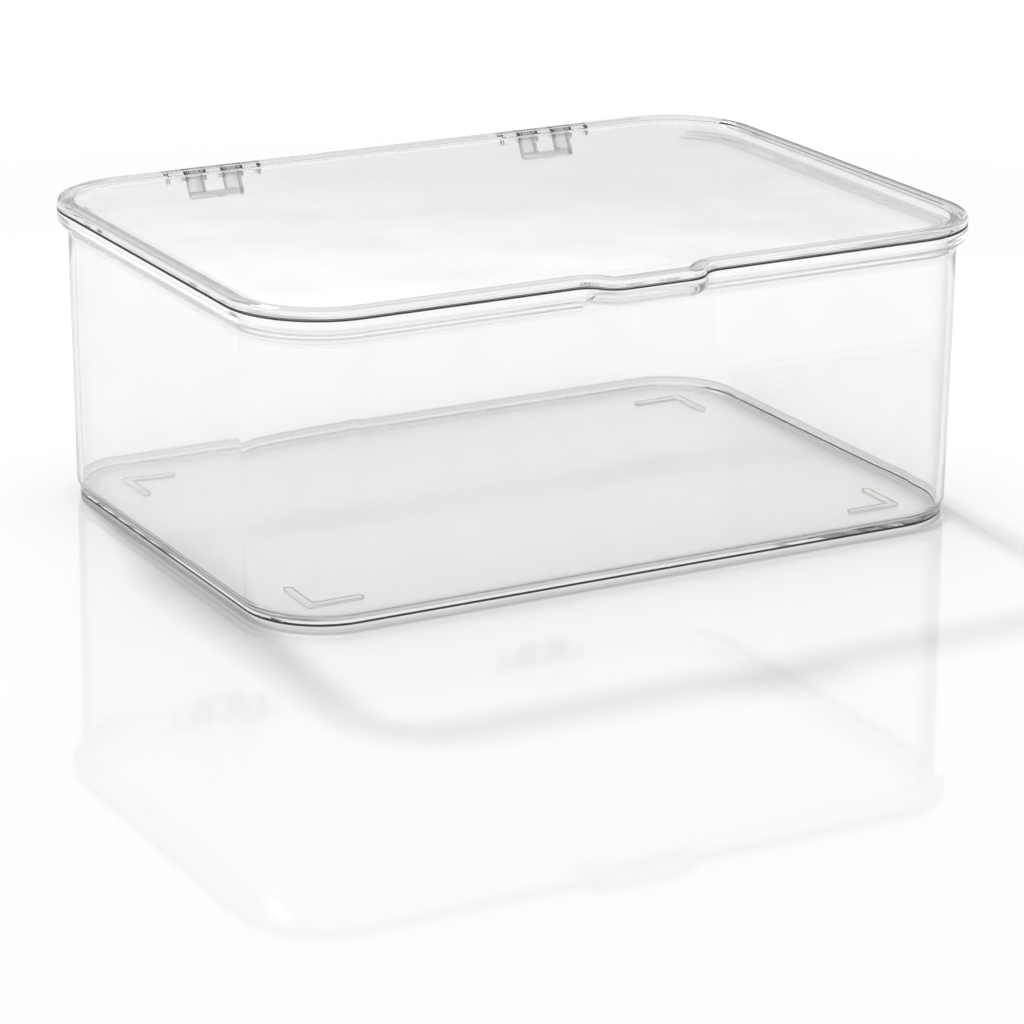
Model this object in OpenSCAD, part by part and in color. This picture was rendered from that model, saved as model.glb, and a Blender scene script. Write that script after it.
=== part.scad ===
// Clear makeup organizer: a one-piece moulded tub and a flat lid that swings on two
// knuckle hinges along the rear rim. Front is -Y, up is +Z, and it stands on z = 0.

/* [Overall] */
// Width of the rim from side to side
rim_w = 270; // [200:1:360]
// Depth of the rim from front to back, without the finger tab
rim_d = 193; // [150:1:260]
// Height of the tub's rim above the table
tub_h = 101.7; // [60:0.1:160]
// Corner radius of the rim seen from above
corner_r = 32; // [24:0.5:45]

/* [Tub] */
// Thickness of the walls
wall_t = 2.2; // [1.8:0.1:2.6]
// Thickness of the floor
floor_t = 2.4; // [1.6:0.1:4]
// How far each wall draws in from the rim down to the floor
draft = 0.7; // [0.2:0.1:1]
// How far the rim stands out from the wall, which is also the round under it
rim_out = 3.5; // [3:0.1:4]
// Height of the rim's upright face above that round
rim_face = 2.7; // [2:0.1:4]
// Radius of the hollow between wall and floor
floor_fillet = 2.5; // [1:0.1:5]

/* [Foot] */
// Inset of the foot band from the rim's outline
foot_inset = 5.3; // [5.3:0.1:7]
// Height of the upright foot band
foot_band = 1.8; // [1:0.1:4]
// Height of the slope from the foot band out to the wall
foot_slope = 2.8; // [1.5:0.1:5]
// Height of the corner feet below the floor
pad_h = 0.9; // [0.5:0.1:1.3]
// Length of each leg of a corner foot
pad_leg = 20; // [10:1:28]
// Width of a corner foot's leg
pad_w = 3.2; // [2:0.1:5]
// Distance from the rim's outline to the bend of a corner foot
pad_inset = 23; // [16:0.5:28]

/* [Lid] */
// Thickness of the lid's raised border
border_t = 2.8; // [2.4:0.1:4]
// Width of the raised border
border_w = 5; // [4.4:0.1:5]
// Radius along the border's outer edge
border_round = 1.5; // [0.8:0.1:1.8]
// Depth of the stacking recess inside the border
recess = 1.4; // [0.8:0.1:1.6]
// Width of the slope from the border down into the recess
recess_slope = 0.8; // [0.3:0.1:1]
// Thickness of the lid's panel
panel_t = 2.2; // [1.8:0.1:3]
// Gap between the rim and the closed lid
seam = 0.25; // [0.15:0.05:0.4]
// Gap between the lid's panel and the tub's walls, all round
plug_gap = 0.4; // [0.3:0.05:0.6]

/* [Finger tab] */
// Place of the tab's middle along the front
tab_x = -2.5; // [-20:0.5:20]
// Width of the tab's straight front edge
tab_flat = 24; // [15:0.5:50]
// Radius of the curves at each side of the tab, which also sets how far it stands out
tab_r = 9; // [8:0.25:11]

/* [Hinges] */
// Distance of each hinge from the middle
hinge_x = 66; // [40:0.5:80]
// Height of the hinge axis below the tub's rim
axis_drop = 1.4; // [1.2:0.1:1.8]
// Distance of the hinge axis behind the rim's outline
axis_out = 1.5; // [1.2:0.1:2]
// Radius of a knuckle
knuckle_r = 2.8; // [2.5:0.1:3]
// Width of each of the lid's three knuckles at a hinge
lid_knuckle_w = 7.2; // [5:0.1:10]
// Width of each of the tub's two hinge arms
arm_w = 6; // [4:0.1:8]
// Gap beside and around a knuckle
knuckle_gap = 0.4; // [0.3:0.05:0.5]
// Drop of the bracket's lower edge below the tub's rim
bracket_drop = 9.2; // [8.5:0.1:12]
// How far the bracket stands out from the wall at its lower edge
bracket_out = 2.3; // [1.5:0.1:3.5]
// Thickness of the web that joins the two arms
web_t = 2; // [1.2:0.1:3]
// Reach behind the axis of the heel that stops the open lid
heel_out = 4.4; // [4.2:0.1:5]
// Height of the heel's top above the axis
heel_up = 0.4; // [0:0.1:0.5]
// Thickness of the heel at its tip
heel_t = 1.2; // [0.8:0.1:2]

/* [Hinge pins] */
// Radius of a hinge pin
pin_r = 1; // [0.8:0.05:1.2]
// Radial clearance of a pin in the lid's knuckles, which turn on it
pin_run = 0.06; // [0.03:0.01:0.1]
// Radial clearance of a pin in the tub's arms, which hold it
pin_hold = 0.02; // [0.01:0.01:0.05]
// How far each end of a pin lies inside the row of knuckles
pin_sunk = 0.3; // [0:0.1:1]

/* [Hidden] */
$fn = 64;
clear = "#dfe9ee66";
pin_clear = "#c9d6dd99";

// Steps in the rounding of the rim and of the lid's edge
round_steps = 6;
// Each run of a profile starts a little inside what carries it
bite = 0.3;
// Centres of the round corners
corner_x = rim_w / 2 - corner_r;
corner_y = rim_d / 2 - corner_r;
// Heights of the tub
floor_top = pad_h + floor_t;
band_top = pad_h + foot_band;
slope_top = band_top + foot_slope;
face_low = tub_h - rim_face;
// Insets of the tub's wall from the rim's outline
wall_low = rim_out + draft;
mouth = rim_out + wall_t;
// Heights and insets of the lid
lid_low = tub_h + seam;
lid_top = lid_low + border_t;
panel_top = lid_top - recess;
panel_low = panel_top - panel_t;
plug = mouth + plug_gap;

// The tab's outline: on each side two equal arcs, one hollow and one full, turn through the
// larger angle of a 3-4-5 triangle and back, so the edge leaves the front line smoothly and
// meets the tab's front smoothly, and the arcs' centres lie at round numbers
turn_sin = 0.8;
turn_cos = 0.6;
tab_side = 2 * tab_r * turn_sin;
tab_out = 2 * tab_r * (1 - turn_cos);
full_x = tab_flat / 2;
full_y = -rim_d / 2 - tab_out + tab_r;
hollow_x = full_x + tab_side;
hollow_y = -rim_d / 2 - tab_r;

// Hinge
axis_y = rim_d / 2 + axis_out;
axis_z = tub_h - axis_drop;
pitch = (lid_knuckle_w + arm_w) / 2 + knuckle_gap;
row_w = 3 * lid_knuckle_w + 2 * arm_w + 4 * knuckle_gap;
wall_y = -axis_out - rim_out - wall_t / 2;

// The origin is the middle of the whole outline, tab and heels included
middle_y = (tab_out - axis_out - heel_out) / 2;

// Carries a profile along a straight side. The profile's x is the distance outwards from
// the rim's outline and its y is the height. turn is the way the side faces.
module side_run(half, from, to, turn) {
    rotate([0, 0, turn]) translate([half, to, 0]) rotate([90, 0, 0])
        linear_extrude(height = to - from) children();
}

// Carries a profile round the four corners and the back and sides, but not the front
module outline_run() {
    for (quarter = [0 : 3]) {
        sx = quarter == 0 || quarter == 3 ? 1 : -1;
        sy = quarter < 2 ? 1 : -1;
        translate([sx * corner_x, sy * corner_y, 0]) rotate([0, 0, 90 * quarter])
            rotate_extrude(angle = 90) translate([corner_r, 0]) children();
    }
    side_run(rim_w / 2, -corner_y, corner_y, 0) children();
    side_run(rim_w / 2, -corner_y, corner_y, 180) children();
    side_run(rim_d / 2, -corner_x, corner_x, 90) children();
}

// Carries a profile along the front on both sides of the tab
module front_run() {
    side_run(rim_d / 2, -corner_x, tab_x - hollow_x, -90) children();
    side_run(rim_d / 2, tab_x + hollow_x, corner_x, -90) children();
}

// Carries a profile along the front behind the tab
module front_middle_run() {
    side_run(rim_d / 2, tab_x - hollow_x, tab_x + hollow_x, -90) children();
}

// A quarter turn of a profile about the Z axis, starting at the angle start, less the part
// on the far side of a line from the centre through aim
module part_turn(start, aim) {
    far = 3 * tab_r;
    difference() {
        rotate([0, 0, start]) rotate_extrude(angle = 90) children();
        linear_extrude(height = 2 * tub_h) polygon([
            [0, 0], [far * aim.x, far * aim.y],
            [far * aim.x / turn_sin, -bite * aim.y], [0, -bite * aim.y]
        ]);
    }
}

// Carries a profile round the tab's outline, from one foot of the tab to the other
module tab_run() {
    translate([tab_x, 0, 0]) {
        side_run(rim_d / 2 + tab_out, -full_x, full_x, -90) children();
        for (side = [0, 1]) mirror([side, 0, 0]) {
            translate([-full_x, full_y, 0]) part_turn(180, [-turn_sin, -turn_cos])
                translate([tab_r, 0]) children();
            translate([-hollow_x, hollow_y, 0]) part_turn(0, [turn_sin, turn_cos])
                translate([tab_r, 0]) mirror([1, 0]) children();
        }
    }
}

// Fills the tab inside the band of width tab_r that tab_run carries round it
module tab_fill(low, high) {
    inside = 2 * tab_r - 1;
    turn = asin(turn_sin);
    left = [for (share = [0.4, 0.7, 1]) [
        inside * sin(share * turn) - hollow_x,
        hollow_y + inside * cos(share * turn)
    ]];
    right = [for (step = [2, 1, 0]) [-left[step].x, left[step].y]];
    translate([tab_x, 0, low]) linear_extrude(height = high - low) polygon(concat(left, right));
}

// The plain middle of a plate, between the four corner centres
module plate_middle(low, high) {
    translate([-corner_x, -corner_y, low]) cube([2 * corner_x, 2 * corner_y, high - low]);
}

// Wall, floor and foot band, from a corner's centre outwards
module wall_profile() {
    polygon([
        [-corner_r, pad_h], [-foot_inset, pad_h], [-foot_inset, band_top],
        [-wall_low, slope_top], [-rim_out, tub_h], [-mouth, tub_h],
        [-wall_low - wall_t, floor_top + floor_fillet], [-wall_low - wall_t, floor_top],
        [-corner_r, floor_top]
    ]);
    difference() {
        translate([-wall_low - wall_t - floor_fillet, floor_top - bite])
            square(floor_fillet + bite);
        translate([-wall_low - wall_t - floor_fillet, floor_top + floor_fillet])
            circle(r = floor_fillet);
    }
}

// The rim: an upright face over a quarter round that runs back into the wall
module rim_profile(width) {
    translate([-width, face_low]) square([width, rim_face]);
    polygon(concat(
        [[-rim_out - bite, face_low]],
        [for (step = [0 : round_steps]) [
            rim_out * (cos(90 * step / round_steps) - 1),
            face_low - rim_out * sin(90 * step / round_steps)
        ]],
        [[-rim_out - bite, face_low - rim_out]]
    ));
}

// The lid's raised border with its rounded outer edge, and the panel behind it up to width
module border_profile(width) {
    polygon(concat(
        [[-width, lid_low], [0, lid_low]],
        [for (step = [0 : round_steps]) [
            border_round * (cos(90 * step / round_steps) - 1),
            lid_top - border_round * (1 - sin(90 * step / round_steps))
        ]],
        [[-border_w, lid_top], [-border_w - recess_slope, panel_top], [-width, panel_top]]
    ));
}

// The lid's panel inside the tub's walls, from a corner's centre outwards
module panel_profile() {
    translate([-corner_r, panel_low]) square([corner_r - plug, panel_t]);
}

// A flat L under one corner of the floor, with round ends, its bend towards the corner
module corner_pad() {
    reach = pad_leg - pad_w;
    linear_extrude(height = pad_h + bite) {
        circle(d = pad_w);
        for (leg = [[-reach, 0], [0, -reach]]) translate(leg) circle(d = pad_w);
        translate([-reach, -pad_w / 2]) square([reach, pad_w]);
        translate([-pad_w / 2, -reach]) square([pad_w, reach]);
    }
}

module corner_pads() {
    bend_x = rim_w / 2 - pad_inset - pad_w / 2;
    bend_y = rim_d / 2 - pad_inset - pad_w / 2;
    for (quarter = [0 : 3]) {
        sx = quarter == 0 || quarter == 3 ? 1 : -1;
        sy = quarter < 2 ? 1 : -1;
        translate([sx * bend_x, sy * bend_y, 0]) rotate([0, 0, 90 * quarter]) corner_pad();
    }
}

// Places something at both hinges, with the axis along X through its origin
module at_hinges() {
    for (side = [-1, 1]) translate([side * hinge_x, axis_y, axis_z]) children();
}

// Extrudes a profile seen from the side along the hinge axis, centred on x
module across(x, width) {
    translate([x - width / 2, 0, 0]) rotate([90, 0, 90]) linear_extrude(height = width) children();
}

// A round bar along the hinge axis, centred on x
module round_bar(x, width, r) {
    translate([x, 0, 0]) rotate([0, 90, 0]) cylinder(h = width, r = r, center = true);
}

// Side view of an arm: a gusset from the wall out to the knuckle, with the heel behind it
module arm_profile() {
    low = axis_drop - bracket_drop;
    toe = -axis_out - rim_out + bracket_out;
    circle(r = knuckle_r);
    polygon([
        [wall_y, low], [toe, low], [heel_out, heel_up - heel_t], [heel_out, heel_up],
        [0, heel_up], [-axis_out, axis_drop - bite], [wall_y, axis_drop - bite]
    ]);
}

// The tub's part of one hinge: two arms joined at the bottom by a web
module hinge_bracket() {
    low = axis_drop - bracket_drop;
    for (side = [-1, 1]) across(side * pitch, arm_w) arm_profile();
    across(0, 2 * pitch) translate([wall_y, low])
        square([bracket_out - axis_out - rim_out - wall_y, web_t]);
}

// Side view of one of the lid's knuckles, with the neck that joins it to the border
module lid_knuckle_profile() {
    neck_low = axis_drop + seam;
    circle(r = knuckle_r);
    translate([-axis_out - border_round, neck_low])
        square([axis_out + border_round, knuckle_r - bite / 4 - neck_low]);
}

module tub() {
    color(clear) translate([0, middle_y, 0]) difference() {
        union() {
            outline_run() { wall_profile(); }
            outline_run() { rim_profile(rim_out + bite); }
            front_run() { wall_profile(); }
            front_run() { rim_profile(rim_out + bite); }
            front_middle_run() { wall_profile(); }
            plate_middle(pad_h, floor_top);
            difference() {
                union() {
                    tab_run() { rim_profile(tab_r); }
                    tab_fill(face_low, tub_h);
                }
                translate([tab_x - hollow_x - bite, -rim_d / 2 + rim_out + wall_t / 2, 0])
                    cube([2 * (hollow_x + bite), corner_r, tub_h + bite]);
            }
            corner_pads();
            at_hinges() hinge_bracket();
        }
        at_hinges() {
            for (x = [-2 * pitch, 0, 2 * pitch])
                round_bar(x, lid_knuckle_w + 2 * knuckle_gap, knuckle_r + knuckle_gap);
            round_bar(0, row_w, pin_r + pin_hold);
        }
    }
}

module lid() {
    color(clear) translate([0, middle_y, 0]) difference() {
        union() {
            outline_run() { border_profile(plug); }
            outline_run() { panel_profile(); }
            front_run() { border_profile(plug); }
            side_run(rim_d / 2, -corner_x, corner_x, -90) panel_profile();
            plate_middle(panel_low, panel_top);
            tab_run() { border_profile(tab_r); }
            tab_fill(lid_low, panel_top);
            at_hinges() for (x = [-2 * pitch, 0, 2 * pitch])
                across(x, lid_knuckle_w) lid_knuckle_profile();
        }
        at_hinges() {
            for (x = [-pitch, pitch])
                round_bar(x, arm_w + 2 * knuckle_gap, knuckle_r + knuckle_gap);
            round_bar(0, row_w + 1, pin_r + pin_run);
        }
    }
}

module hinge_pin(side) {
    color(pin_clear) translate([side * hinge_x, axis_y + middle_y, axis_z])
        round_bar(0, row_w - 2 * pin_sunk, pin_r);
}

module left_hinge_pin() { hinge_pin(-1); }

module right_hinge_pin() { hinge_pin(1); }

tub();
lid();
left_hinge_pin();
right_hinge_pin();
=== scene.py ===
import logging
import math
from dataclasses import dataclass
from enum import Enum
from typing import Sequence

import bpy
from bpy.types import Material, Node, NodeSocket, NodeTree, Object
from mathutils import Matrix, Vector


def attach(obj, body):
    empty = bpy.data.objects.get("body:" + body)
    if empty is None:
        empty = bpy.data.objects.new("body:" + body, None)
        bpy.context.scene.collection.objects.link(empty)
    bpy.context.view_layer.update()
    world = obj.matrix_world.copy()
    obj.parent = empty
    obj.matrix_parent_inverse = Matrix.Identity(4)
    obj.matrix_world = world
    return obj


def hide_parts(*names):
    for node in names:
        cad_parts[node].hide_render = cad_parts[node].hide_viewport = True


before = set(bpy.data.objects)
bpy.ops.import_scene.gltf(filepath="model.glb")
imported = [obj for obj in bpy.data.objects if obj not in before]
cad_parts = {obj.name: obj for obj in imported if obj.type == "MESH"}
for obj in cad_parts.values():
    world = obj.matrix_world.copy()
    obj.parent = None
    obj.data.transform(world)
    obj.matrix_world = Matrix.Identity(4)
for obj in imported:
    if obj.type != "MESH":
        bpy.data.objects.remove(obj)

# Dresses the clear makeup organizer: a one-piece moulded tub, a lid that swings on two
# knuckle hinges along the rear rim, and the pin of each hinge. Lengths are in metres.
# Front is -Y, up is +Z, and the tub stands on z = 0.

log = logging.getLogger("makeup_organizer")

Point = tuple[float, float, float]
Pair = tuple[float, float]
Tone = tuple[float, float, float]
Face = tuple[int, ...]


class Body(Enum):
    """The bodies of the frame that a piece can ride on."""

    TUB = "tub"
    LID = "lid"


class Finish(Enum):
    """The finishes of a moulding, in the order of its material slots.

    All but WALL and REAR_RIM carry painted shade: the dark seam and contact line, the grey
    hinge parts and their dark edge outlines, the shaded bands, the greyer floor and the
    slightly darker rim underside.
    """

    WALL = 0
    # Painted shade: a near-black line along the seam, the foot band's contact and knuckle ends.
    SEAM_EDGE = 1
    # Painted shade: the hinge arms, web and bores tinted grey.
    HINGE = 2
    # Painted shade: dark outlines on the rounded edges of hinge parts and feet.
    HINGE_EDGE = 3
    SHADED = 4
    # Painted shade: the rim's underside a little darker.
    UNDER_RIM = 5
    # Painted shade: the tub's floor tinted a little grey.
    FLOOR = 6
    REAR_RIM = 7


class Follow(Enum):
    """The line that a ring of the shell runs along, seen from above."""

    BOX = "the plain rounded box"
    TAB = "the rim's edge, out round the finger tab"


Finishes = dict[Finish, Material]

# Where along Y a strip's finish gives way to another one towards the hinges. The painted
# seam shade line ends there, and the rim's slightly shaded underside turns into the faint
# rear rim.
REAR_FINISH = {
    Finish.SEAM_EDGE: (0.0780, Finish.WALL),
    Finish.UNDER_RIM: (0.0885, Finish.REAR_RIM),
}


def round_points(centre: Pair, radius: float, start: float, end: float, steps: int) -> list[Pair]:
    """Points along a round.

    Args:
        centre: the round's centre.
        radius: its radius.
        start: the first point's angle in radians.
        end: the last point's angle.
        steps: number of steps between them.

    Returns:
        The points with both ends.
    """
    angles = [start + (end - start) * step / steps for step in range(steps + 1)]
    return [
        (centre[0] + radius * math.cos(angle), centre[1] + radius * math.sin(angle))
        for angle in angles
    ]


def straight_points(start: Pair, end: Pair, steps: int) -> list[Pair]:
    """Points along a straight line.

    Args:
        start: one end of the line.
        end: the other end.
        steps: number of steps between them.

    Returns:
        The points without the two ends.
    """
    return [
        tuple(low + (high - low) * step / steps for low, high in zip(start, end))
        for step in range(1, steps)
    ]


@dataclass(frozen=True)
class RimOutline:
    """The rim's outline seen from above, with the finger tab in its front edge.

    Points run anticlockwise from the left foot of the tab, and each has a twin at the same
    place in the list on the plain box, so that rings of both kinds can be joined.
    """

    width: float = 0.270
    depth: float = 0.193
    corner_r: float = 0.032
    middle_y: float = 0.00065
    tab_x: float = -0.0025
    tab_flat: float = 0.024
    tab_r: float = 0.009
    turn_sin: float = 0.8
    turn_cos: float = 0.6
    curve_steps: int = 14
    flat_steps: int = 6
    corner_steps: int = 28
    side_steps: int = 12

    @property
    def tab_out(self) -> float:
        """How far the tab stands out from the front edge."""
        return 2 * self.tab_r * (1 - self.turn_cos)

    @property
    def tab_half(self) -> float:
        """Half the width of the tab with its curved flanks."""
        return self.tab_flat / 2 + 2 * self.tab_r * self.turn_sin

    def _flank(self, inset: float, side: int) -> list[Pair]:
        """One flank of the tab, from the front edge out to the tab's flat front.

        Args:
            inset: distance inwards from the outline.
            side: -1 for the left flank, 1 for the right one.

        Returns:
            The flank's points, with y measured from the outline's middle.
        """
        turn = math.asin(self.turn_sin)
        front = -self.depth / 2
        points = []
        for step in range(2 * self.curve_steps + 1):
            share = step / self.curve_steps
            if share <= 1:
                angle = turn * share
                across = self.tab_half - (self.tab_r + inset) * math.sin(angle)
                y = front - self.tab_r + (self.tab_r + inset) * math.cos(angle)
            else:
                angle = turn * (2 - share)
                across = self.tab_flat / 2 + (self.tab_r - inset) * math.sin(angle)
                y = front - self.tab_out + self.tab_r - (self.tab_r - inset) * math.cos(angle)
            points.append((self.tab_x + side * across, y))
        return points

    def _front(self, inset: float, follow: Follow) -> list[Pair]:
        """The front edge from the left foot of the tab to the right one.

        Args:
            inset: distance inwards from the outline.
            follow: whether the edge goes out round the tab.

        Returns:
            The edge's points, with y measured from the outline's middle.
        """
        if follow is Follow.BOX:
            return [(x, inset - self.depth / 2) for x, _ in self._front(0.0, Follow.TAB)]
        left, right = (self._flank(inset, side) for side in (-1, 1))
        return left + straight_points(left[-1], right[-1], self.flat_steps) + right[::-1]

    def line(self, inset: float, follow: Follow) -> list[Pair]:
        """The closed line at an inset from the outline.

        Args:
            inset: distance inwards from the outline.
            follow: whether the line goes out round the tab.

        Returns:
            The line's points in order, in the shared frame.
        """
        half_x, half_y = self.width / 2 - self.corner_r, self.depth / 2 - self.corner_r
        reach = self.corner_r - inset
        points = self._front(inset, follow)
        ends = ((half_x, -half_y), (half_x, half_y), (-half_x, half_y), (-half_x, -half_y))
        for quarter, centre in enumerate(ends):
            start = math.radians(90 * quarter - 90)
            corner = round_points(centre, reach, start, start + math.pi / 2, self.corner_steps)
            points += straight_points(points[-1], corner[0], self.side_steps) + corner
        points += straight_points(points[-1], points[0], self.side_steps)
        return [(px, py + self.middle_y) for px, py in points]

    def tab_reach(self) -> list[float]:
        """How far the outline stands out from the plain box at each point."""
        tab, box = self.line(0.0, Follow.TAB), self.line(0.0, Follow.BOX)
        return [b[1] - t[1] for t, b in zip(tab, box)]


@dataclass(frozen=True)
class Ring:
    """One closed line of a shell, at an inset from the outline and at a height.

    under_tab gives it another inset, height and line where the tab stands out far enough.
    finish is that of the strip from this ring to the next.
    """

    inset: float
    height: float
    follow: Follow = Follow.BOX
    under_tab: tuple[float, float, Follow] | None = None
    finish: Finish = Finish.WALL


@dataclass(frozen=True)
class Turn:
    """A bend in a shell's section, rounded to a radius."""

    inset: float
    height: float
    radius: float
    follow: Follow = Follow.BOX
    steps: int = 5
    finish: Finish = Finish.WALL
    finish_after: Finish = Finish.WALL


def arc(before: Pair, corner: Pair, after: Pair, radius: float, steps: int) -> list[Pair]:
    """Rounds one bend of a line in a plane.

    Args:
        before: a point on the way in.
        corner: the sharp bend.
        after: a point on the way out.
        radius: radius of the rounding.
        steps: number of straight steps that stand for the arc.

    Returns:
        The points of the arc from its start to its end.
    """
    way_in = (Vector(before) - Vector(corner)).normalized()
    way_out = (Vector(after) - Vector(corner)).normalized()
    half = way_in.angle(way_out) / 2
    centre = Vector(corner) + (way_in + way_out).normalized() * radius / math.sin(half)
    start = Vector(corner) + way_in * radius / math.tan(half) - centre
    sweep = way_out.angle_signed(way_in)
    sweep = math.copysign(math.pi - abs(sweep), -sweep)
    points = []
    for step in range(steps + 1):
        angle = sweep * step / steps
        turn = Matrix(((math.cos(angle), -math.sin(angle)), (math.sin(angle), math.cos(angle))))
        points.append(tuple(centre + turn @ start))
    return points


def rounded(section: Sequence[Ring | Turn]) -> list[Ring]:
    """Expands the turns of a section into rings.

    Args:
        section: rings and turns in order; it starts and ends with a ring.

    Returns:
        Rings only.
    """
    rings: list[Ring] = []
    for index, stop in enumerate(section):
        if isinstance(stop, Ring):
            rings.append(stop)
            continue
        before, after = section[index - 1], section[index + 1]
        bend = arc(
            (before.inset, before.height), (stop.inset, stop.height),
            (after.inset, after.height), stop.radius, stop.steps,
        )
        rings += [Ring(*place, stop.follow, finish=stop.finish) for place in bend[:-1]]
        rings.append(Ring(*bend[-1], stop.follow, finish=stop.finish_after))
    return rings


def new_solid(name: str, points: Sequence[Point], faces: Sequence[Face]) -> Object:
    """Makes an object and links it into the scene.

    Args:
        name: name of the object and of its mesh.
        points: the mesh's points.
        faces: the numbers of each face's points.

    Returns:
        The new object.
    """
    mesh = bpy.data.meshes.new(name)
    mesh.from_pydata(points, [], faces)
    mesh.update()
    made = bpy.data.objects.new(name, mesh)
    bpy.context.scene.collection.objects.link(made)
    return made


def shell_faces(count: int, levels: int) -> tuple[Face, Face, list[Face]]:
    """Numbers the faces of a closed shell through rings of points.

    Args:
        count: how many points a ring has.
        levels: how many rings there are.

    Returns:
        The first cap, the last cap and the strips between them.
    """
    strips = [
        (low + index, low + after, low + count + after, low + count + index)
        for low in range(0, count * (levels - 1), count)
        for index, after in zip(range(count), [*range(1, count), 0])
    ]
    return tuple(reversed(range(count))), tuple(range(count * (levels - 1), count * levels)), strips


@dataclass(frozen=True)
class ShellLoft:
    """Lofts a closed shell through rings along the rim's outline.

    Where the tab stands out by less than under_tab_from, a ring keeps its usual place, and
    from under_tab_full on it has the place that it states for under the tab.
    """

    outline: RimOutline
    under_tab_from: float = 0.0009
    under_tab_full: float = 0.0021

    def _ring_points(self, ring: Ring) -> list[Point]:
        """Places one ring, eased over to its place under the tab where it has one.

        Args:
            ring: the ring.

        Returns:
            Its points in the shared frame.
        """
        line = [(x, y, ring.height) for x, y in self.outline.line(ring.inset, ring.follow)]
        if ring.under_tab is None:
            return line
        inset, height, follow = ring.under_tab
        other = [(x, y, height) for x, y in self.outline.line(inset, follow)]
        points = []
        for near, far, reach in zip(line, other, self.outline.tab_reach()):
            share = (reach - self.under_tab_from) / (self.under_tab_full - self.under_tab_from)
            share = min(1.0, max(0.0, share))
            share = share * share * (3 - 2 * share)
            points.append(tuple(Vector(near).lerp(Vector(far), share)))
        return points

    def build(self, name: str, section: Sequence[Ring | Turn], finishes: Finishes) -> Object:
        """Lofts the shell.

        Args:
            name: name of the object.
            section: the shell's section from the middle of its underside, out, up and back
                to the middle of its top.
            finishes: the material of each finish.

        Returns:
            A closed shell with its faces outwards.
        """
        stops = rounded(section)
        rings = [self._ring_points(ring) for ring in stops]
        bottom, top, strips = shell_faces(len(rings[0]), len(rings))
        slots = [stops[0].finish.value]
        for stop, ring in zip(stops[:-1], rings):
            start, rear = REAR_FINISH.get(stop.finish, (0.0, stop.finish))
            slots += [rear.value if y > start else stop.finish.value for _, y, _ in ring]
        slots.append(stops[-1].finish.value)
        made = new_solid(name, [point for ring in rings for point in ring], [bottom, *strips, top])
        made.data.polygons.foreach_set("material_index", slots)
        made.data.update()
        for finish in Finish:
            made.data.materials.append(finishes[finish])
        return made


def bake(made: Object) -> Object:
    """Turns an object's modifiers into plain mesh and removes them.

    Args:
        made: the object whose modifiers are final.

    Returns:
        The same object with a plain mesh.
    """
    graph = bpy.context.evaluated_depsgraph_get()
    plain = bpy.data.meshes.new_from_object(made.evaluated_get(graph), depsgraph=graph)
    plain.name = made.name
    made.modifiers.clear()
    old, made.data = made.data, plain
    bpy.data.meshes.remove(old)
    return made


def bevel_edges(
    made: Object, width: float, finish: Material, sharp: float = 50.0, segments: int = 3
) -> Object:
    """Rounds the sharp edges of an object.

    Args:
        made: the object.
        width: width of the rounding.
        finish: the material of the rounding.
        sharp: the angle in degrees from which an edge is rounded.
        segments: number of faces across the rounding.

    Returns:
        The same object with a plain mesh.
    """
    rounding = made.modifiers.new("edge_round", "BEVEL")
    rounding.width = width
    rounding.segments = segments
    rounding.limit_method = "ANGLE"
    rounding.angle_limit = math.radians(sharp)
    made.data.materials.append(finish)
    rounding.material = len(made.data.materials) - 1
    return bake(made)


def finish_ends(made: Object, finish: Material, square: float = 0.9) -> None:
    """Gives the end faces, which look along X, a finish of their own.

    Args:
        made: the object.
        finish: the material of the end faces.
        square: how much of a face's normal lies along X, from which it counts as an end.
    """
    made.data.materials.append(finish)
    for face in made.data.polygons:
        if abs(face.normal.x) > square:
            face.material_index = len(made.data.materials) - 1


def smooth(made: Object, below: float = 32.0) -> None:
    """Shades an object smooth, but for edges that bend by more than an angle in degrees."""
    made.data.shade_smooth()
    made.data.set_sharp_from_angle(angle=math.radians(below))


class Joining(Enum):
    """How a tool shape changes a moulding."""

    WELD = "UNION"
    CUT = "DIFFERENCE"


def shape_with(made: Object, tools: Sequence[tuple[Joining, Object]]) -> Object:
    """Welds shapes to a moulding or cuts them out of it, in order.

    Args:
        made: the moulding.
        tools: how each shape is used, and the shape, which is removed afterwards.

    Returns:
        The moulding with its new mesh.
    """
    for joining, tool in tools:
        step = made.modifiers.new(tool.name, "BOOLEAN")
        step.operation = joining.value
        step.solver = "EXACT"
        step.material_mode = "TRANSFER"
        step.object = tool
    bake(made)
    for _, tool in tools:
        bpy.data.meshes.remove(tool.data)
    return made


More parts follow.
